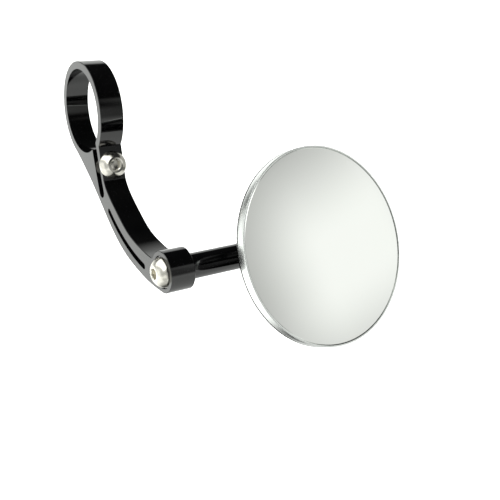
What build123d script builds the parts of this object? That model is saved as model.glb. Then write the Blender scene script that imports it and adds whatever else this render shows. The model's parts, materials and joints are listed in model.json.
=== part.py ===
from build123d import *
import os
from math import cos, radians, sin, sqrt

os.makedirs("parts", exist_ok=True)

# Clamp-on round mirror for a 22.2 mm handlebar. Millimetres, +Z up.
# The origin is the centre of the clamp bore, halfway through the plate. +X runs along the bar,
# from the clamp towards the mirror. The mirror looks towards -Y and a little up.

# ---- driving dimensions --------------------------------------------------------------------
bar_radius = 11.1            # clamp bore, for a 22.2 mm bar
ring_wall = 2.0
plate_width = 6.35           # thickness of the one plate that ring, arm and boss are cut from
edge_chamfer = 0.12
boss_y = -44.75              # pivot boss centre, seen from the bore
boss_z = -31.9
boss_radius = 5.15
fit_gap = 0.03               # radial gap round threads
touch_gap = 0.02             # between flat faces that turn on each other

kerf_width = 3.0
slot_width = 1.6
pad_tilt = 12.0              # lean of the pinch bolt's flat, away from the vertical
pad_y = -11.65
pad_z = -12.8
pad_above = 5.0              # the flat's reach above and below the bolt
pad_below = 3.9
clearance_depth = 3.0        # from the flat, through the ear and into the kerf

# M4 and M1.6 fasteners
m4_radius = 2.0
m4_clearance_radius = 2.15
m4_head_radius = 3.7
m4_head_height = 2.2
m4_head_flat_radius = 2.0
m4_head_edge = 0.25          # straight edge below the dome
m4_dome_bulge = 0.2
m4_tip_chamfer = 0.4
m4_hex = 2.5
m4_socket_depth = 1.3
pinch_bolt_length = 8.0      # longer, and its hole breaks out of the arm's lower edge
thread_runout = 0.5
pivot_bolt_length = 16.0
m16_radius = 0.8
m16_head_radius = 1.5
m16_length = 4.4

# Pivot stack, outwards from the boss
counterbore_radius = 4.05
counterbore_depth = 1.2
spring_thickness = 0.4
spring_cone = 0.14
spring_outer_radius = 3.8
spring_inner_radius = 2.1
washer_thickness = 0.5

# Stem and ball stud
stem_radius = 3.175
stem_end_x = 39.2
stem_bore_depth = 10.0
stem_chamfer = 0.4
stud_x = 34.96               # where the stud crosses the stem
stud_tilt = 7.7              # stud's lean above -Y
stud_flat = 2.6              # spot face, from the stem's axis
stud_thread_radius = 1.5
lock_screw_radius = 1.5      # M3 grub screw in the stem's free end, against the stud
lock_screw_length = 2.4
lock_screw_hex = 1.5
lock_socket_depth = 1.0
stud_flange_radius = 2.2
stud_flange_height = 0.6
stud_neck_radius = 1.3
ball_offset = 7.2            # ball centre, from the stem's axis
ball_radius = 3.0

# Ball joint, from the ball centre along the mirror's axis
running_gap = 0.06
liner_wall = 0.55
liner_back = -1.9
liner_front = 1.6
socket_back = -2.1
pad_radius = 4.5
pad_bottom = 0.9
pad_top = 4.4
wave_spring_height = 0.6
wave_spring_wall = 0.3
wave_spring_inner = 1.8
wave_spring_outer = 4.3
retainer_radius = 8.0
retainer_thickness = 0.8
retainer_hole_radius = 1.2
retainer_screw_circle = 6.2

# Mirror head
head_tilt = 21.6             # mirror axis above the horizontal
head_yaw = 4.3               # mirror axis away from the arm
face_offset = 7.0            # rim plane, from the ball centre
head_radius = 25.0
rim_height = 2.4
bezel_wall = 0.45
bezel_rounding = 0.06
shell_shoulder = 0.3
glass_gap = 0.05
glass_curve_radius = 300.0   # convex glass
glass_thickness = 1.4
glass_setback = 0.2
adhesive_thickness = 0.3
adhesive_inner_radius = 20.0
adhesive_outer_radius = 24.0
hub_radius = 9.0

# ---- places worked out from the dimensions ---------------------------------------------------
near_x = -plate_width / 2
far_x = plate_width / 2
ring_radius = bar_radius + ring_wall
stem_start_x = far_x + washer_thickness + touch_gap
spring_stack = 2 * (spring_thickness + spring_cone) + touch_gap
spring_floor_x = near_x + counterbore_depth
spring_top_x = spring_floor_x - spring_stack
pivot_head_x = spring_top_x - touch_gap

near_plane = Plane.YZ.offset(near_x)
pivot_axis = Axis((0, boss_y, boss_z), (1, 0, 0))
pivot_section = Plane(origin=(0, boss_y, boss_z), x_dir=(0, 1, 0), z_dir=(0, 0, -1))

pad_out = Vector(0, -cos(radians(pad_tilt)), sin(radians(pad_tilt)))
stud_out = Vector(0, -cos(radians(stud_tilt)), sin(radians(stud_tilt)))
stud_base = Vector(stud_x, boss_y, boss_z)
ball_centre = stud_base + stud_out * ball_offset

level_out = Vector(0, -cos(radians(head_tilt)), sin(radians(head_tilt)))
head_out = level_out * cos(radians(head_yaw)) + Vector(1, 0, 0) * sin(radians(head_yaw))
head_side = Vector(1, 0, 0) * cos(radians(head_yaw)) - level_out * sin(radians(head_yaw))


def section_through(origin, radial, axis_direction):
    """Plane whose x is the radius and whose y runs along the axis of a turned piece."""
    return Plane(origin=origin, x_dir=radial, z_dir=radial.cross(axis_direction))


stud_section = section_through(stud_base, Vector(1, 0, 0), stud_out)
stud_axis = Axis(stud_base, stud_out)
liner_section = section_through(ball_centre, Vector(1, 0, 0), level_out)
liner_axis = Axis(ball_centre, level_out)
head_section = section_through(ball_centre, head_side, head_out)
head_axis = Axis(ball_centre, head_out)


def height_on_sphere(radius, distance):
    """Height above a sphere's centre of its surface, at a distance from the axis."""
    return sqrt(radius**2 - distance**2)


def button_screw(seat, length):
    """M4 button-head screw: its head stands on the seat plane, its shank goes into it."""
    section = section_through(seat.origin, seat.x_dir, seat.z_dir)
    dome_middle = (
        (m4_head_radius + m4_head_flat_radius) / 2 + m4_dome_bulge,
        (m4_head_edge + m4_head_height) / 2 + m4_dome_bulge,
    )
    with BuildPart() as screw:
        with BuildSketch(section):
            with BuildLine():
                Polyline(
                    (0, m4_head_height),
                    (0, -length),
                    (m4_radius - m4_tip_chamfer, -length),
                    (m4_radius, m4_tip_chamfer - length),
                    (m4_radius, 0),
                    (m4_head_radius, 0),
                    (m4_head_radius, m4_head_edge),
                )
                ThreePointArc(
                    (m4_head_radius, m4_head_edge),
                    dome_middle,
                    (m4_head_flat_radius, m4_head_height),
                )
                Line((m4_head_flat_radius, m4_head_height), (0, m4_head_height))
            make_face()
        revolve(axis=Axis(seat.origin, seat.z_dir))
        with BuildSketch(seat.offset(m4_head_height)):
            RegularPolygon(radius=m4_hex / 2, side_count=6, major_radius=False)
        extrude(amount=-m4_socket_depth, mode=Mode.SUBTRACT)
    return screw.part


# ---- clamp arm: ring, arm and boss in one plate ----------------------------------------------
pad_plane = Plane(origin=(0, pad_y, pad_z), x_dir=(1, 0, 0), z_dir=pad_out)
pad_down = Vector(0, -sin(radians(pad_tilt)), -cos(radians(pad_tilt)))
pad_upper = Vector(0, pad_y, pad_z) - pad_down * pad_above
pad_lower = Vector(0, pad_y, pad_z) + pad_down * pad_below

with BuildPart() as clamp_arm:
    with BuildSketch(near_plane):
        Circle(ring_radius)
        with Locations((boss_y, boss_z)):
            Circle(boss_radius)
        with BuildLine():
            Spline(
                (6.25, -11.4),
                (-4.75, -19.1),
                (-14.15, -27.1),
                (-23.1, -32.9),
                (-33.55, -36.05),
                (boss_y, boss_z - boss_radius),
                tangents=[(-0.85, -0.55), (-1, 0)],
            )
            Line((boss_y, boss_z - boss_radius), (boss_y, boss_z))
            Line((boss_y, boss_z), (-40.2, -29.9))
            Spline(
                (-40.2, -29.9),
                (-33.1, -29.15),
                (-26.7, -27.55),
                (-19.85, -23.5),
                (-13.95, -18.8),
                (pad_lower.Y, pad_lower.Z),
                tangents=[(1, 0), (0.45, 0.9)],
            )
            Line((pad_lower.Y, pad_lower.Z), (pad_upper.Y, pad_upper.Z))
            Line((pad_upper.Y, pad_upper.Z), (-5.0, -5.0))
            Line((-5.0, -5.0), (6.25, -11.4))
        make_face()
    extrude(amount=plate_width)
    boss_corner = (
        clamp_arm.edges()
        .filter_by(Axis.X)
        .sort_by_distance((0, -40.0, -29.8))[0]
    )
    fillet(boss_corner, radius=1.5)
    outline = clamp_arm.faces().filter_by(Axis.X)
    chamfer(outline.edges(), length=edge_chamfer)
    with BuildSketch(near_plane):
        Circle(bar_radius)
    extrude(amount=plate_width, mode=Mode.SUBTRACT)
    # pinch kerf, from the bore down past the bolt
    with BuildSketch(near_plane):
        with BuildLine():
            kerf_line = Polyline((-6.6, -5.7), (-8.6, -13.2), (-10.7, -20.0))
        SlotArc(kerf_line.wire(), kerf_width)
    extrude(amount=plate_width, mode=Mode.SUBTRACT)
    # lightening slot that follows the arm's curve
    with BuildSketch(near_plane):
        with BuildLine():
            slot_line = ThreePointArc((-15.1, -24.25), (-22.95, -29.45), (-34.85, -33.4))
        SlotArc(slot_line.edge(), slot_width)
    extrude(amount=plate_width, mode=Mode.SUBTRACT)
    # pinch bolt: clearance hole in the ear, threaded hole in the arm
    with BuildSketch(pad_plane):
        Circle(m4_radius + fit_gap)
    extrude(amount=-pinch_bolt_length - thread_runout, mode=Mode.SUBTRACT)
    with BuildSketch(pad_plane):
        Circle(m4_clearance_radius)
    extrude(amount=-clearance_depth, mode=Mode.SUBTRACT)
    # pivot hole and its counterbore
    with BuildSketch(near_plane):
        with Locations((boss_y, boss_z)):
            Circle(m4_radius + running_gap)
    extrude(amount=plate_width, mode=Mode.SUBTRACT)
    with BuildSketch(near_plane):
        with Locations((boss_y, boss_z)):
            Circle(counterbore_radius)
    extrude(amount=counterbore_depth, mode=Mode.SUBTRACT)
clamp_arm.part.label = "clamp_arm"
export_step(clamp_arm.part, "parts/clamp_arm.step")

pinch_bolt = button_screw(pad_plane, pinch_bolt_length)
pinch_bolt.label = "pinch_bolt"
export_step(pinch_bolt, "parts/pinch_bolt.step")

# ---- pivot: bolt, disc springs and washer ----------------------------------------------------
pivot_seat = Plane(
    origin=(pivot_head_x, boss_y, boss_z), x_dir=(0, 1, 0), z_dir=(-1, 0, 0)
)
pivot_bolt = button_screw(pivot_seat, pivot_bolt_length)
pivot_bolt.label = "pivot_bolt"
export_step(pivot_bolt, "parts/pivot_bolt.step")

with BuildPart() as pivot_disc_springs:
    for inner_x, away in ((spring_top_x, 1), (spring_floor_x, -1)):
        outer_x = inner_x + away * spring_cone
        with BuildSketch(pivot_section):
            with BuildLine():
                Polyline(
                    (spring_inner_radius, inner_x),
                    (spring_outer_radius, outer_x),
                    (spring_outer_radius, outer_x + away * spring_thickness),
                    (spring_inner_radius, inner_x + away * spring_thickness),
                    close=True,
                )
            make_face()
        revolve(axis=pivot_axis)
pivot_disc_springs.part.label = "pivot_disc_springs"
export_step(pivot_disc_springs.part, "parts/pivot_disc_springs.step")

with BuildPart() as pivot_washer:
    with BuildSketch(Plane.YZ.offset(far_x)):
        with Locations((boss_y, boss_z)):
            Circle(stem_radius)
            Circle(m4_radius + running_gap, mode=Mode.SUBTRACT)
    extrude(amount=washer_thickness)
pivot_washer.part.label = "pivot_washer"
export_step(pivot_washer.part, "parts/pivot_washer.step")

# ---- stem and ball stud ----------------------------------------------------------------------
stud_plane = Plane(origin=stud_base, x_dir=(1, 0, 0), z_dir=stud_out)

with BuildPart() as stem:
    with BuildSketch(Plane.YZ.offset(stem_start_x)):
        with Locations((boss_y, boss_z)):
            Circle(stem_radius)
    extrude(amount=stem_end_x - stem_start_x)
    chamfer(stem.edges().filter_by(GeomType.CIRCLE), length=stem_chamfer)
    with BuildSketch(Plane.YZ.offset(stem_start_x)):
        with Locations((boss_y, boss_z)):
            Circle(m4_radius + fit_gap)
    extrude(amount=stem_bore_depth, mode=Mode.SUBTRACT)
    # threaded end hole for the grub screw that locks the stud
    with BuildSketch(Plane.YZ.offset(stud_x)):
        with Locations((boss_y, boss_z)):
            Circle(lock_screw_radius + fit_gap)
    extrude(amount=stem_end_x - stud_x, mode=Mode.SUBTRACT)
    # threaded cross hole for the stud, with a flat for its flange
    with BuildSketch(stud_plane):
        Circle(stud_thread_radius + fit_gap)
    extrude(amount=2 * stem_radius, both=True, mode=Mode.SUBTRACT)
    with BuildSketch(stud_plane.offset(stud_flat)):
        Circle(stud_flange_radius + stem_chamfer)
    extrude(amount=stem_radius, mode=Mode.SUBTRACT)
stem.part.label = "stem"
export_step(stem.part, "parts/stem.step")

lock_screw_start = stud_x + stud_thread_radius + fit_gap
with BuildPart() as stud_lock_screw:
    with BuildSketch(Plane.YZ.offset(lock_screw_start)):
        with Locations((boss_y, boss_z)):
            Circle(lock_screw_radius)
    extrude(amount=lock_screw_length)
    with BuildSketch(Plane.YZ.offset(lock_screw_start + lock_screw_length)):
        with Locations((boss_y, boss_z)):
            RegularPolygon(radius=lock_screw_hex / 2, side_count=6, major_radius=False)
    extrude(amount=-lock_socket_depth, mode=Mode.SUBTRACT)
stud_lock_screw.part.label = "stud_lock_screw"
export_step(stud_lock_screw.part, "parts/stud_lock_screw.step")

neck_top = ball_offset - height_on_sphere(ball_radius, stud_neck_radius)
with BuildPart() as ball_stud:
    with BuildSketch(stud_section):
        with BuildLine():
            Polyline(
                (0, ball_offset + ball_radius),
                (0, -stud_flat),
                (stud_thread_radius - stem_chamfer, -stud_flat),
                (stud_thread_radius, stem_chamfer - stud_flat),
                (stud_thread_radius, stud_flat),
                (stud_flange_radius, stud_flat),
                (stud_flange_radius, stud_flat + stud_flange_height),
                (stud_neck_radius, stud_flat + stud_flange_height),
                (stud_neck_radius, neck_top),
            )
            ThreePointArc(
                (stud_neck_radius, neck_top),
                (ball_radius, ball_offset),
                (0, ball_offset + ball_radius),
            )
        make_face()
    revolve(axis=stud_axis)
ball_stud.part.label = "ball_stud"
export_step(ball_stud.part, "parts/ball_stud.step")

# ---- ball joint: liner, pressure pad and wave spring -----------------------------------------
liner_inner = ball_radius + running_gap
liner_outer = liner_inner + liner_wall
socket_radius = liner_outer + running_gap

with BuildPart() as ball_liner:
    with BuildSketch(liner_section):
        with BuildLine():
            ThreePointArc(
                (height_on_sphere(liner_inner, liner_back), liner_back),
                (liner_inner, 0),
                (height_on_sphere(liner_inner, liner_front), liner_front),
            )
            Line(
                (height_on_sphere(liner_inner, liner_front), liner_front),
                (height_on_sphere(liner_outer, liner_front), liner_front),
            )
            ThreePointArc(
                (height_on_sphere(liner_outer, liner_front), liner_front),
                (liner_outer, 0),
                (height_on_sphere(liner_outer, liner_back), liner_back),
            )
            Line(
                (height_on_sphere(liner_outer, liner_back), liner_back),
                (height_on_sphere(liner_inner, liner_back), liner_back),
            )
        make_face()
    revolve(axis=liner_axis)
ball_liner.part.label = "ball_liner"
export_step(ball_liner.part, "parts/ball_liner.step")

pad_mouth = height_on_sphere(socket_radius, pad_bottom)
pad_middle = socket_radius * sqrt(0.5)
with BuildPart() as pressure_pad:
    with BuildSketch(head_section):
        with BuildLine():
            ThreePointArc((0, socket_radius), (pad_middle, pad_middle), (pad_mouth, pad_bottom))
            Polyline(
                (pad_mouth, pad_bottom),
                (pad_radius, pad_bottom),
                (pad_radius, pad_top),
                (0, pad_top),
                (0, socket_radius),
            )
        make_face()
    revolve(axis=head_axis)
pressure_pad.part.label = "pressure_pad"
export_step(pressure_pad.part, "parts/pressure_pad.step")

retainer_bottom = pad_top + wave_spring_height + touch_gap
with BuildPart() as pad_spring:
    with BuildSketch(head_section):
        with BuildLine():
            Polyline(
                (wave_spring_inner, pad_top),
                (wave_spring_outer, pad_top + wave_spring_height - wave_spring_wall),
                (wave_spring_outer, pad_top + wave_spring_height),
                (wave_spring_inner, pad_top + wave_spring_wall),
                close=True,
            )
        make_face()
    revolve(axis=head_axis)
pad_spring.part.label = "pad_spring"
export_step(pad_spring.part, "parts/pad_spring.step")

# ---- mirror head -----------------------------------------------------------------------------
head_plane = Plane(origin=ball_centre, x_dir=head_side, z_dir=head_out)
retainer_top = retainer_bottom + retainer_thickness
bezel_inner_radius = head_radius - bezel_wall
glass_radius = bezel_inner_radius - glass_gap
glass_edge_height = face_offset - glass_setback
rim_back = face_offset - rim_height


def glass_height(distance, depth=0.0):
    """Height of the convex glass's front above the ball centre, or of a surface below it."""
    rise = height_on_sphere(glass_curve_radius, distance)
    edge_rise = height_on_sphere(glass_curve_radius, glass_radius)
    return glass_edge_height + rise - edge_rise - depth


ledge_depth = glass_thickness + adhesive_thickness
ledge_inner = (adhesive_inner_radius - 0.5, glass_height(adhesive_inner_radius - 0.5, ledge_depth))
ledge_outer = (glass_radius, glass_height(glass_radius, ledge_depth))

with BuildPart() as mirror_shell:
    with BuildSketch(head_section):
        with BuildLine():
            socket_edge = height_on_sphere(socket_radius, socket_back)
            socket_middle = (
                height_on_sphere(socket_radius, socket_back / 2),
                socket_back / 2,
            )
            ThreePointArc((socket_edge, socket_back), socket_middle, (socket_radius, 0))
            Polyline(
                (socket_radius, 0),
                (socket_radius, pad_bottom - running_gap),
                (pad_radius + running_gap, pad_bottom - running_gap),
                (pad_radius + running_gap, retainer_bottom),
                (retainer_radius + fit_gap, retainer_bottom),
                (retainer_radius + fit_gap, retainer_top),
                (hub_radius, retainer_top),
                (hub_radius, 0.9),
            )
            ThreePointArc((hub_radius, 0.9), (14.5, 1.25), (ledge_inner[0], 2.8))
            Polyline(
                (ledge_inner[0], 2.8),
                ledge_inner,
                ledge_outer,
                (glass_radius, rim_back),
                (head_radius, rim_back),
                (head_radius, rim_back - shell_shoulder),
            )
            ThreePointArc((head_radius, rim_back - shell_shoulder), (18.5, 0.7), (6.5, -0.9))
            Polyline(
                (6.5, -0.9),
                (6.0, -1.2),
                (5.5, socket_back + 0.2),
                (5.2, socket_back),
                (socket_edge, socket_back),
            )
        make_face()
    revolve(axis=head_axis)
    with Locations(head_plane.offset(retainer_bottom)):
        with PolarLocations(retainer_screw_circle, 3):
            Hole(radius=m16_radius + fit_gap, depth=m16_length - retainer_thickness + thread_runout)
mirror_shell.part.label = "mirror_shell"
export_step(mirror_shell.part, "parts/mirror_shell.step")

with BuildPart() as bezel:
    with BuildSketch(head_plane.offset(rim_back)):
        Circle(head_radius)
        Circle(bezel_inner_radius, mode=Mode.SUBTRACT)
    extrude(amount=rim_height)
    front_edges = bezel.edges().sort_by(head_axis)[-2:]
    fillet(front_edges.sort_by(SortBy.RADIUS)[-1], radius=bezel_rounding)
bezel.part.label = "bezel"
export_step(bezel.part, "parts/bezel.step")

with BuildPart() as retainer:
    with BuildSketch(head_plane.offset(retainer_bottom)):
        Circle(retainer_radius)
        Circle(retainer_hole_radius, mode=Mode.SUBTRACT)
    extrude(amount=retainer_thickness)
    with Locations(head_plane.offset(retainer_top)):
        with PolarLocations(retainer_screw_circle, 3):
            CounterSinkHole(
                radius=m16_radius + fit_gap,
                counter_sink_radius=m16_head_radius + fit_gap,
                depth=retainer_thickness,
                counter_sink_angle=90,
            )
retainer.part.label = "retainer"
export_step(retainer.part, "parts/retainer.step")

with BuildPart() as retainer_screws:
    with Locations(head_plane.offset(retainer_top)):
        with PolarLocations(retainer_screw_circle, 3):
            Cone(
                bottom_radius=m16_radius,
                top_radius=m16_head_radius,
                height=m16_head_radius - m16_radius,
                align=(Align.CENTER, Align.CENTER, Align.MAX),
            )
            Cylinder(
                radius=m16_radius,
                height=m16_length,
                align=(Align.CENTER, Align.CENTER, Align.MAX),
            )
            Cylinder(
                radius=m16_radius / 2,
                height=m16_head_radius - m16_radius,
                align=(Align.CENTER, Align.CENTER, Align.MAX),
                mode=Mode.SUBTRACT,
            )
retainer_screws.part.label = "retainer_screws"
export_step(retainer_screws.part, "parts/retainer_screws.step")

with BuildPart() as glass_adhesive:
    with BuildSketch(head_section):
        with BuildLine():
            Polyline(
                (adhesive_inner_radius, glass_height(adhesive_inner_radius, ledge_depth)),
                (adhesive_outer_radius, glass_height(adhesive_outer_radius, ledge_depth)),
                (adhesive_outer_radius, glass_height(adhesive_outer_radius, glass_thickness)),
                (adhesive_inner_radius, glass_height(adhesive_inner_radius, glass_thickness)),
                close=True,
            )
        make_face()
    revolve(axis=head_axis)
glass_adhesive.part.label = "glass_adhesive"
export_step(glass_adhesive.part, "parts/glass_adhesive.step")

glass_middle = glass_radius / 2
with BuildPart() as mirror_glass:
    with BuildSketch(head_section):
        with BuildLine():
            ThreePointArc(
                (0, glass_height(0)),
                (glass_middle, glass_height(glass_middle)),
                (glass_radius, glass_height(glass_radius)),
            )
            Line(
                (glass_radius, glass_height(glass_radius)),
                (glass_radius, glass_height(glass_radius, glass_thickness)),
            )
            ThreePointArc(
                (glass_radius, glass_height(glass_radius, glass_thickness)),
                (glass_middle, glass_height(glass_middle, glass_thickness)),
                (0, glass_height(0, glass_thickness)),
            )
            Line((0, glass_height(0, glass_thickness)), (0, glass_height(0)))
        make_face()
    revolve(axis=head_axis)
mirror_glass.part.label = "mirror_glass"
export_step(mirror_glass.part, "parts/mirror_glass.step")
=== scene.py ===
"""Looks of a round convex bicycle mirror on a handlebar clamp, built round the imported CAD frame."""

import json
import math

import bmesh
import bpy
from mathutils import Matrix, Vector


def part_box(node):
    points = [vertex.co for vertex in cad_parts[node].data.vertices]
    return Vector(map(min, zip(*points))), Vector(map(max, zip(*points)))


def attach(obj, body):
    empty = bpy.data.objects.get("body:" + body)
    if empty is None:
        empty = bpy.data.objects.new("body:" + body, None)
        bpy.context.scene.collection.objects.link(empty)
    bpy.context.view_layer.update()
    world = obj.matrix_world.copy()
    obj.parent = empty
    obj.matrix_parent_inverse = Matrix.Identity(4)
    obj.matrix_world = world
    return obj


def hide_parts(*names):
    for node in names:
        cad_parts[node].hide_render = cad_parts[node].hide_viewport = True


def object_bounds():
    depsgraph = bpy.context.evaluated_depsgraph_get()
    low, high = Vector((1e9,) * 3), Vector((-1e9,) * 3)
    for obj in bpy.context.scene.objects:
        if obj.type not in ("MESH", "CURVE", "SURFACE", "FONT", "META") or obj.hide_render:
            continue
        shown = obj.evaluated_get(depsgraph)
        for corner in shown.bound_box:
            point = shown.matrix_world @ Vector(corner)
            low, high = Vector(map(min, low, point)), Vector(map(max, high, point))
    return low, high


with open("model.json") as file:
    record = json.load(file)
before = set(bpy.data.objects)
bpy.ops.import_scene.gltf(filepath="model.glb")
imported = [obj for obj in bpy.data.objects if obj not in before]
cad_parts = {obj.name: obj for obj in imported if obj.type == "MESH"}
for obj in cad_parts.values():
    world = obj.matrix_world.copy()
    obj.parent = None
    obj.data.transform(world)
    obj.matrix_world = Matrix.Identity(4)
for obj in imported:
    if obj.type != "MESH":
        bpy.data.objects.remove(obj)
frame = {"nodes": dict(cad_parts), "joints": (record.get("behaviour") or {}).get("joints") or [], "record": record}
cad_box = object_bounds()
nodes = frame["nodes"]

MM = 0.001

# ---- camera: where the object is looked at from -----------------------------------------------
view_azimuth = math.radians(-32.9)
view_elevation = math.radians(19.155)
view_distance = 212.2 * MM
aim = Vector((29.075, -33.3, -35.71)) * MM
sensor_width = 36.0
lens = 56.53

# ---- studio ------------------------------------------------------------------------------------
floor_drop = 45 * MM         # floor, below the object's lowest point
floor_size = 12.0
overhead_strength = 4.2
overhead_spread = math.radians(110)

# ---- sizes of the pieces made here, in millimetres, as in the CAD model -------------------------
m4_radius = 2.0
m4_pitch = 0.7
m4_thread_depth = 0.3
m4_head_radius = 3.7
m4_head_height = 2.2
m4_flat_radius = 2.0
m4_head_edge = 0.25                   # straight edge below the dome
m4_dome_bulge = 0.26                  # of the dome, beyond a plain cone
m4_socket_width = 2.5
m4_socket_depth = 1.3
m4_socket_bevel = 0.2                 # width of the bevel round the socket's mouth
m4_socket_bevel_depth = 0.14
m4_socket_fillet = 0.06               # at the foot of the socket's walls
m4_drill_radius = 0.9                 # drill point in the socket's floor
m4_drill_lip = 0.02
m4_drill_depth = 0.3
m4_foot_rounding = 0.06               # at the widest part of the head
m4_tip = 0.4                          # length over which the thread runs out at either end
m4_least_tooth = 0.2                  # part of the tooth that is left at the tip
pinch_bolt_length = 8.0
pivot_bolt_length = 16.0
pad_tilt = math.radians(12.0)         # lean of the pinch bolt's flat
pad_centre = Vector((0, -11.65, -12.8))

face_offset = 7.0                     # rim plane, from the ball's centre
rim_height = 2.4
head_radius = 25.0
bezel_wall = 0.45
bezel_crown = 0.06                    # how far the middle of the rim stands proud of its edges
bezel_corner = 0.06                   # rounding of the rim's front corner
glass_radius = 24.5
glass_curve = 300.0
glass_thickness = 1.4
glass_setback = 0.2
glass_edge = 0.22                     # ground edge of the glass

wave_spring_base = 4.4
wave_spring_height = 0.6
wave_spring_strip = 0.22
wave_spring_inner = 1.8
wave_spring_outer = 4.3
wave_count = 3


# ---- node helpers -------------------------------------------------------------------------------
class Shader:
    """A material's node tree, with short calls for the nodes that the finishes below are made of."""

    def __init__(self, name):
        self.material = bpy.data.materials.new(name)
        self.material.use_nodes = True
        self.tree = self.material.node_tree
        self.surface = self.tree.nodes["Principled BSDF"]
        self.place = self.add("ShaderNodeTexCoord").outputs["Object"]

    def add(self, kind, **settings):
        node = self.tree.nodes.new(kind)
        for name, value in settings.items():
            setattr(node, name, value)
        return node

    def link(self, start, end):
        self.tree.links.new(start, end)

    def set(self, **values):
        """Values that are the same all over, on the surface's own sockets."""
        for name, value in values.items():
            self.surface.inputs[name.replace("_", " ")].default_value = value

    def stretched(self, scale):
        """The object's coordinates, stretched by a different amount along each axis."""
        mapping = self.add("ShaderNodeMapping")
        self.link(self.place, mapping.inputs["Vector"])
        mapping.inputs["Scale"].default_value = scale
        return mapping.outputs["Vector"]

    def noise(self, scale, detail=3.0, place=None):
        node = self.add("ShaderNodeTexNoise")
        node.inputs["Scale"].default_value = scale
        node.inputs["Detail"].default_value = detail
        self.link(place or self.place, node.inputs["Vector"])
        return node.outputs["Fac"]

    def between(self, value, low, high, start=0.3, end=0.7):
        """A number that goes from low to high as value goes from start to end."""
        node = self.add("ShaderNodeMapRange")
        node.inputs["From Min"].default_value = start
        node.inputs["From Max"].default_value = end
        node.inputs["To Min"].default_value = low
        node.inputs["To Max"].default_value = high
        self.link(value, node.inputs["Value"])
        return node.outputs["Result"]

    def colours(self, value, low, high):
        ramp = self.add("ShaderNodeValToRGB")
        ramp.color_ramp.elements[0].position = 0.3
        ramp.color_ramp.elements[1].position = 0.7
        ramp.color_ramp.elements[0].color = (*low, 1)
        ramp.color_ramp.elements[1].color = (*high, 1)
        self.link(value, ramp.inputs["Fac"])
        return ramp.outputs["Color"]

    def bump(self, height, strength, distance):
        node = self.add("ShaderNodeBump")
        node.inputs["Strength"].default_value = strength
        node.inputs["Distance"].default_value = distance
        self.link(height, node.inputs["Height"])
        self.link(node.outputs["Normal"], self.surface.inputs["Normal"])


# ---- finishes ------------------------------------------------------------------------------------
def anodised_finish():
    """Polished aluminium, dyed black: a deep black under a clear hard oxide, with fine mill marks."""
    s = Shader("gloss_black_anodised")
    s.set(IOR=1.7)
    blotches = s.noise(180, detail=4)
    grain = s.noise(1.0, detail=4, place=s.stretched((9000, 900, 900)))
    black = s.colours(blotches, (0.0004, 0.0004, 0.0005), (0.0012, 0.0012, 0.0013))
    s.link(black, s.surface.inputs["Base Color"])
    s.link(s.between(grain, 0.04, 0.09), s.surface.inputs["Roughness"])
    s.bump(grain, 0.05, 0.01 * MM)
    return s.material


def stainless_finish():
    """Polished stainless steel with a warm tint and the fine rings of turning."""
    s = Shader("polished_stainless")
    s.set(Metallic=1.0)
    stains = s.noise(700, detail=4)
    scratches = s.noise(1.0, detail=3, place=s.stretched((1500, 9000, 9000)))
    s.link(s.colours(stains, (0.66, 0.64, 0.57), (0.76, 0.74, 0.68)), s.surface.inputs["Base Color"])
    s.link(s.between(scratches, 0.17, 0.25), s.surface.inputs["Roughness"])
    s.bump(scratches, 0.08, 0.01 * MM)
    return s.material


def spring_steel_finish():
    """Satin rolled spring steel with faint heat colour."""
    s = Shader("satin_spring_steel")
    s.set(Metallic=1.0)
    patches = s.noise(400, detail=4)
    rolling = s.noise(1.0, detail=3, place=s.stretched((6000, 700, 700)))
    s.link(s.colours(patches, (0.33, 0.33, 0.35), (0.46, 0.44, 0.42)), s.surface.inputs["Base Color"])
    s.link(s.between(rolling, 0.28, 0.42), s.surface.inputs["Roughness"])
    s.bump(rolling, 0.1, 0.01 * MM)
    return s.material


def acetal_finish():
    """Black moulded acetal: soft gloss with a fine moulded grain."""
    s = Shader("black_acetal")
    cloud = s.noise(300, detail=3)
    grain = s.noise(5000, detail=2)
    s.link(s.colours(cloud, (0.016, 0.016, 0.017), (0.028, 0.028, 0.03)), s.surface.inputs["Base Color"])
    s.link(s.between(grain, 0.32, 0.48), s.surface.inputs["Roughness"])
    s.bump(grain, 0.12, 0.01 * MM)
    return s.material


def polished_rim_finish():
    """Polished and plated edge of the mirror, with a soft sheen."""
    s = Shader("polished_rim")
    s.set(Metallic=1.0)
    haze = s.noise(500, detail=3)
    polish = s.noise(1.0, detail=2, place=s.stretched((2500, 2500, 2500)))
    s.link(s.colours(haze, (0.84, 0.87, 0.85), (0.90, 0.92, 0.90)), s.surface.inputs["Base Color"])
    s.link(s.between(polish, 0.24, 0.3), s.surface.inputs["Roughness"])
    s.bump(polish, 0.02, 0.01 * MM)
    return s.material


def foam_tape_finish():
    """Closed-cell foam tape: matt, with open cells at its cut edges."""
    s = Shader("foam_tape")
    cells = s.add("ShaderNodeTexVoronoi")
    cells.inputs["Scale"].default_value = 4500
    s.link(s.place, cells.inputs["Vector"])
    size = cells.outputs["Distance"]
    s.link(s.colours(size, (0.03, 0.03, 0.03), (0.075, 0.075, 0.075)), s.surface.inputs["Base Color"])
    s.link(s.between(size, 0.8, 0.95, 0.0, 0.6), s.surface.inputs["Roughness"])
    s.bump(size, 0.5, 0.03 * MM)
    return s.material


def mirror_glass_finish():
    """Silvered convex glass, faintly green, with the light haze of a wiped surface."""
    s = Shader("silvered_glass")
    s.set(Metallic=1.0)
    wiped = s.noise(1.0, detail=4, place=s.stretched((60, 140, 60)))
    silver = s.noise(45, detail=2)
    s.link(s.colours(silver, (0.89, 0.905, 0.875), (0.90, 0.91, 0.89)), s.surface.inputs["Base Color"])
    s.link(s.between(wiped, 0.02, 0.05), s.surface.inputs["Roughness"])
    return s.material


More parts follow.
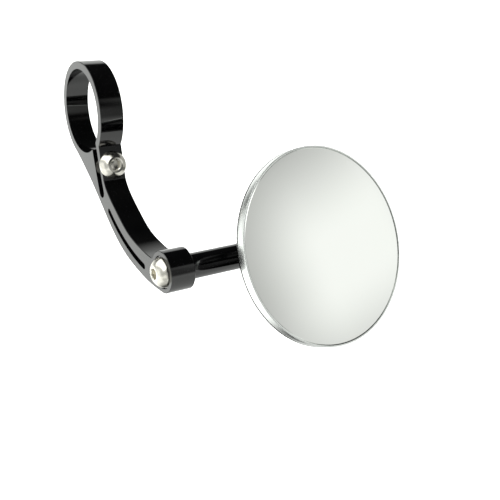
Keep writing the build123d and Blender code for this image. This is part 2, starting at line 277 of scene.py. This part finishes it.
FINISHES = {
    "anodised": anodised_finish(),
    "stainless": stainless_finish(),
    "spring_steel": spring_steel_finish(),
    "acetal": acetal_finish(),
    "polished_rim": polished_rim_finish(),
    "foam_tape": foam_tape_finish(),
    "mirror_glass": mirror_glass_finish(),
}
slot_of = {part["node"]: part["material_slot"] for part in frame["record"]["subparts"]}


def finish_cad_nodes():
    """Each CAD node takes the finish of the material slot that its record names."""
    for name, node in nodes.items():
        node.data.materials.clear()
        node.data.materials.append(FINISHES[slot_of[name]])


# ---- mesh helpers --------------------------------------------------------------------------------
AROUND = 144                          # points round a turned piece, a multiple of six
RINGS_A_TURN = 12                     # rings of a screw, for each turn of its thread
DOME_STEPS = 16                       # rings of a screw head's dome
GLASS_RINGS = 40


def standing(origin, direction):
    """Places a piece that is made about +Z, in millimetres, on an axis of the frame, in metres."""
    turn = Vector(direction).normalized().to_track_quat("Z", "Y").to_matrix().to_4x4()
    return Matrix.Translation(Vector(origin) * MM) @ turn @ Matrix.Scale(MM, 4)


def rounded(corners, steps=5):
    """An outline of (radius, height) points, from corners given as (radius, height, rounding)."""
    outline = []
    for i, (r, z, rounding) in enumerate(corners):
        here = Vector((r, z))
        if rounding == 0 or i in (0, len(corners) - 1):
            outline.append((r, z))
            continue
        before = (Vector(corners[i - 1][:2]) - here).normalized()
        after = (Vector(corners[i + 1][:2]) - here).normalized()
        half = before.angle(after) / 2
        reach = rounding / math.tan(half)
        middle = here + (before + after).normalized() * (rounding / math.sin(half))
        start = here + before * reach - middle
        end = here + after * reach - middle
        for k in range(steps + 1):
            point = middle + start.slerp(end, k / steps).normalized() * rounding
            outline.append((point.x, point.y))
    return outline


def hexagon_radius(across, angle):
    """Distance from the middle of a hexagon, of a width across its flats, to its side at an angle."""
    sixth = math.pi / 3
    return across / 2 / math.cos((angle + sixth / 2) % sixth - sixth / 2)


def turned(rings):
    """A closed mesh from rings, each a function of the angle that gives (radius, height).
    A ring of no radius is a single point on the axis."""
    shape = bmesh.new()
    loops = []
    for ring in rings:
        points = []
        for k in range(AROUND):
            angle = 2 * math.pi * k / AROUND
            radius, height = ring(angle)
            points.append((radius * math.cos(angle), radius * math.sin(angle), height))
            if radius == 0:
                break
        loops.append([shape.verts.new(p) for p in points])
    for low, high in zip(loops, loops[1:]):
        for k in range(AROUND):
            after = (k + 1) % AROUND
            if len(low) == 1:
                shape.faces.new((low[0], high[after], high[k]))
            elif len(high) == 1:
                shape.faces.new((low[k], low[after], high[0]))
            else:
                shape.faces.new((low[k], low[after], high[after], high[k]))
    bmesh.ops.recalc_face_normals(shape, faces=shape.faces)
    return shape


def join_seam(shape):
    """Joins the first ring to the last, where an outline comes back to its start."""
    bmesh.ops.remove_doubles(shape, verts=shape.verts, dist=1e-4)
    bmesh.ops.recalc_face_normals(shape, faces=shape.faces)


def plain(outline):
    """Rings for a piece that is round all the way."""
    return [lambda angle, r=r, z=z: (r, z) for r, z in outline]


def piece(name, shape, place, body, slot_name, stands_for, sharp=35):
    """Turns a finished shape into a named piece that rides on a body in a CAD node's place."""
    mesh = bpy.data.meshes.new(name)
    shape.to_mesh(mesh)
    shape.free()
    mesh.transform(place)
    mesh.shade_smooth()
    mesh.set_sharp_from_angle(angle=math.radians(sharp))
    mesh.materials.append(FINISHES[slot_name])
    made = bpy.data.objects.new(name, mesh)
    bpy.context.scene.collection.objects.link(made)
    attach(made, body)
    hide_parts(stands_for)
    return made


# ---- pieces --------------------------------------------------------------------------------------
def button_screw(name, seat, direction, length, body, stands_for):
    """M4 button-head screw: domed head with a hexagon socket, and a rolled thread."""
    socket_floor = m4_head_height - m4_socket_depth
    lead_in = m4_socket_width / 2 + m4_socket_bevel

    def thread(depth):
        def ring(angle):
            turns = depth / m4_pitch + angle / (2 * math.pi)
            tooth = abs((turns % 1.0) * 2 - 1)
            taper = min(1.0, depth / m4_tip, (length - depth) / m4_tip + m4_least_tooth)
            return m4_radius - m4_thread_depth * (1 - tooth * taper), -depth
        return ring

    def socket(height):
        return lambda angle: (hexagon_radius(m4_socket_width, angle), height)

    steps = round(length / m4_pitch * RINGS_A_TURN)
    shank = [thread(length * k / steps) for k in range(steps, -1, -1)]
    widest = (m4_head_radius, 0, m4_foot_rounding)
    dome = rounded([(m4_radius, 0, 0), widest, (m4_head_radius, m4_head_edge, 0)])
    foot = Vector((m4_head_radius, m4_head_edge))
    top = Vector((m4_flat_radius, m4_head_height))
    outwards = Vector((top.y - foot.y, foot.x - top.x)).normalized()
    for k in range(1, DOME_STEPS + 1):
        along = k / DOME_STEPS
        point = foot.lerp(top, along) + outwards * m4_dome_bulge * 4 * along * (1 - along)
        dome.append((point.x, point.y))
    dome.append((lead_in, m4_head_height))
    rings = [lambda angle: (0, -length)]
    rings += shank
    rings += plain(dome)
    rings.append(socket(m4_head_height - m4_socket_bevel_depth))
    rings.append(socket(socket_floor + m4_socket_fillet))
    rings.append(socket(socket_floor))
    rings += plain([(m4_drill_radius, socket_floor - m4_drill_lip), (0, socket_floor - m4_drill_depth)])
    piece(name, turned(rings), standing(seat, direction), body, "stainless", stands_for)


def convex_glass(place):
    """Convex mirror glass with a ground edge."""
    def height(distance):
        return (
            face_offset - glass_setback
            + math.sqrt(glass_curve**2 - distance**2)
            - math.sqrt(glass_curve**2 - glass_radius**2)
        )

    face = []
    for k in range(GLASS_RINGS + 1):
        radius = k / GLASS_RINGS * (glass_radius - glass_edge)
        face.append((radius, height(radius)))
    back = [(r, z - glass_thickness) for r, z in reversed(face)]
    edge = [
        (glass_radius, height(glass_radius) - glass_edge / 2),
        (glass_radius, height(glass_radius) - glass_thickness + glass_edge / 2),
    ]
    shape = turned(plain(face + edge + back))
    piece("convex_glass", shape, place, "head", "mirror_glass", "mirror_glass", sharp=12)


def polished_rim(place):
    """Thin rim with a slightly crowned outside, a flat front and a small rounded corner."""
    low = face_offset - rim_height
    inner = head_radius - bezel_wall
    top = face_offset - bezel_corner
    crown = []
    for k in range(13):
        across = 2 * k / 12 - 1
        crown.append((head_radius - bezel_crown * across**2, low + (top - low) * k / 12))
    shoulder = crown[-1][0] - bezel_corner
    corner = []
    for k in range(1, 5):
        turn = math.pi / 2 * k / 4
        corner.append((shoulder + bezel_corner * math.cos(turn), top + bezel_corner * math.sin(turn)))
    outline = [(inner, low)] + crown + corner + [(inner, face_offset), (inner, low)]
    shape = turned(plain(outline))
    join_seam(shape)
    piece("rolled_rim", shape, place, "head", "polished_rim", "bezel", sharp=40)


def wave_spring(place):
    """Flat strip ring with three waves, between the pressure pad and the retainer."""
    swing = (wave_spring_height - wave_spring_strip) / 2

    def corner(radius, up):
        middle = wave_spring_base + wave_spring_height / 2
        return lambda angle: (
            radius,
            middle + swing * math.sin(wave_count * angle) + up * wave_spring_strip / 2,
        )

    rings = [
        corner(wave_spring_inner, -1),
        corner(wave_spring_outer, -1),
        corner(wave_spring_outer, 1),
        corner(wave_spring_inner, 1),
        corner(wave_spring_inner, -1),
    ]
    shape = turned(rings)
    join_seam(shape)
    piece("three_wave_spring", shape, place, "pad", "spring_steel", "pad_spring")


def make_pieces():
    """The pieces with more shape than their CAD nodes, each on its own joint axis or seat."""
    joints = {joint["name"]: joint for joint in frame["joints"]}
    spin = joints["head_spin"]
    head = standing(Vector(spin["pos_m"]) / MM, spin["axis"])
    convex_glass(head)
    polished_rim(head)
    wave_spring(head)

    pad_out = (0, -math.cos(pad_tilt), math.sin(pad_tilt))
    button_screw("pinch_screw", pad_centre, pad_out, pinch_bolt_length, "arm", "pinch_bolt")
    turn = Vector(joints["stem_turn"]["pos_m"]) / MM
    turn.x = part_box("pivot_bolt")[0].x / MM + m4_head_height
    button_screw("pivot_screw", turn, (-1, 0, 0), pivot_bolt_length, "stem", "pivot_bolt")


# ---- studio --------------------------------------------------------------------------------------
def plain_floor():
    """Pale matt floor below the object, which its polished pieces do not reflect."""
    bpy.ops.mesh.primitive_plane_add(size=floor_size)
    floor = bpy.context.object
    floor.name = "floor"
    floor.location = (0, 0, cad_box[0].z - floor_drop)
    floor.visible_glossy = False
    s = Shader("pale_floor")
    s.set(Roughness=0.9)
    s.link(s.colours(s.noise(3), (0.86, 0.86, 0.86), (0.9, 0.9, 0.9)), s.surface.inputs["Base Color"])
    floor.data.materials.append(s.material)


def overhead_light():
    """Wide even light from above for the floor, which makes no highlight of its own."""
    data = bpy.data.lights.new("overhead", "SUN")
    data.energy = overhead_strength
    data.angle = overhead_spread
    light = bpy.data.objects.new("overhead", data)
    bpy.context.scene.collection.objects.link(light)
    light.visible_glossy = False


def towards(azimuth, elevation):
    """Direction at an azimuth, 0 on the camera's side and 90 on the right, and an elevation."""
    a, e = math.radians(azimuth), math.radians(elevation)
    return Vector((math.sin(a) * math.cos(e), -math.cos(a) * math.cos(e), math.sin(e)))


# Soft panels of the light tent: azimuth, elevation, half width, half height, softness, strength.
PANELS = {
    "key, upper left": (-88, 62, 38, 17, 16, 2.1),
    "backdrop": (-168, -20, 24, 14, 22, 0.9),
    "back left": (-125, -22, 45, 30, 20, 0.72),
    "left": (-72, 4, 42, 22, 16, 0.6),
    "front": (2, -4, 16, 10, 14, 0.38),
    "table, left": (-80, -52, 52, 22, 18, 0.7),
    "table, right": (82, -50, 52, 14, 14, 0.95),
    "right": (78, 8, 46, 20, 8, 0.45),
    "soft box, right": (52, 11, 6, 3, 19, 0.58),
    "backdrop, right": (156, 10, 20, 20, 10, 1.1),
}
tent_dim = 0.015                      # light from everywhere between the panels
tent_colour = (0.985, 1.0, 0.975, 1)
background_strength = 1.3             # the white that is seen behind the object


def studio_tent():
    """The light tent round the object: soft panels on dark surroundings, and a white background."""
    world = bpy.data.worlds.new("studio")
    bpy.context.scene.world = world
    world.use_nodes = True
    tree = world.node_tree
    direction = tree.nodes.new("ShaderNodeTexCoord").outputs["Generated"]

    def along(axis):
        node = tree.nodes.new("ShaderNodeVectorMath")
        node.operation = "DOT_PRODUCT"
        node.inputs[1].default_value = axis
        tree.links.new(direction, node.inputs[0])
        return node.outputs["Value"]

    def maths(operation, first, second=None):
        node = tree.nodes.new("ShaderNodeMath")
        node.operation = operation
        for socket, value in zip(node.inputs, (first, second)):
            if isinstance(value, float):
                socket.default_value = value
            elif value is not None:
                tree.links.new(value, socket)
        return node.outputs["Value"]

    def fade(value, full, none):
        """1 up to full degrees either way, and 0 from none degrees on."""
        node = tree.nodes.new("ShaderNodeMapRange")
        node.interpolation_type = "SMOOTHSTEP"
        node.inputs["From Min"].default_value = math.radians(full)
        node.inputs["From Max"].default_value = math.radians(none)
        node.inputs["To Min"].default_value = 1.0
        node.inputs["To Max"].default_value = 0.0
        tree.links.new(maths("ABSOLUTE", value), node.inputs["Value"])
        return node.outputs["Result"]

    def panel(azimuth, elevation, width, height, softness, strength):
        ahead = towards(azimuth, elevation)
        right = towards(azimuth + 90, 0)
        up = right.cross(ahead) * -1
        sideways = maths("ARCTAN2", along(right), along(ahead))
        upwards = maths("ARCSINE", along(up))
        across = fade(sideways, width, width + softness)
        light = maths("MULTIPLY", across, fade(upwards, height, height + softness))
        return maths("MULTIPLY", light, float(strength))

    total = maths("ADD", panel(*PANELS["key, upper left"]), tent_dim)
    for name, sizes in PANELS.items():
        if name != "key, upper left":
            total = maths("ADD", total, panel(*sizes))
    seen = tree.nodes.new("ShaderNodeLightPath").outputs["Is Camera Ray"]
    choose = tree.nodes.new("ShaderNodeMix")
    choose.data_type = "FLOAT"
    tree.links.new(seen, choose.inputs["Factor"])
    tree.links.new(total, choose.inputs["A"])
    choose.inputs["B"].default_value = background_strength
    background = tree.nodes["Background"]
    background.inputs["Color"].default_value = tent_colour
    tree.links.new(choose.outputs["Result"], background.inputs["Strength"])


def camera():
    """Looks at the aim from the view's azimuth, elevation and distance."""
    back = Vector(
        (
            math.sin(view_azimuth) * math.cos(view_elevation),
            -math.cos(view_azimuth) * math.cos(view_elevation),
            math.sin(view_elevation),
        )
    )
    data = bpy.data.cameras.new("camera")
    data.sensor_width = sensor_width
    data.lens = lens
    data.clip_start = 10 * MM
    eye = bpy.data.objects.new("camera", data)
    bpy.context.scene.collection.objects.link(eye)
    eye.location = aim + back * view_distance
    eye.rotation_mode = "QUATERNION"
    eye.rotation_quaternion = (-back).to_track_quat("-Z", "Y")
    bpy.context.scene.camera = eye
    bpy.context.scene.view_settings.view_transform = "Standard"


finish_cad_nodes()
make_pieces()
plain_floor()
overhead_light()
studio_tent()
camera()
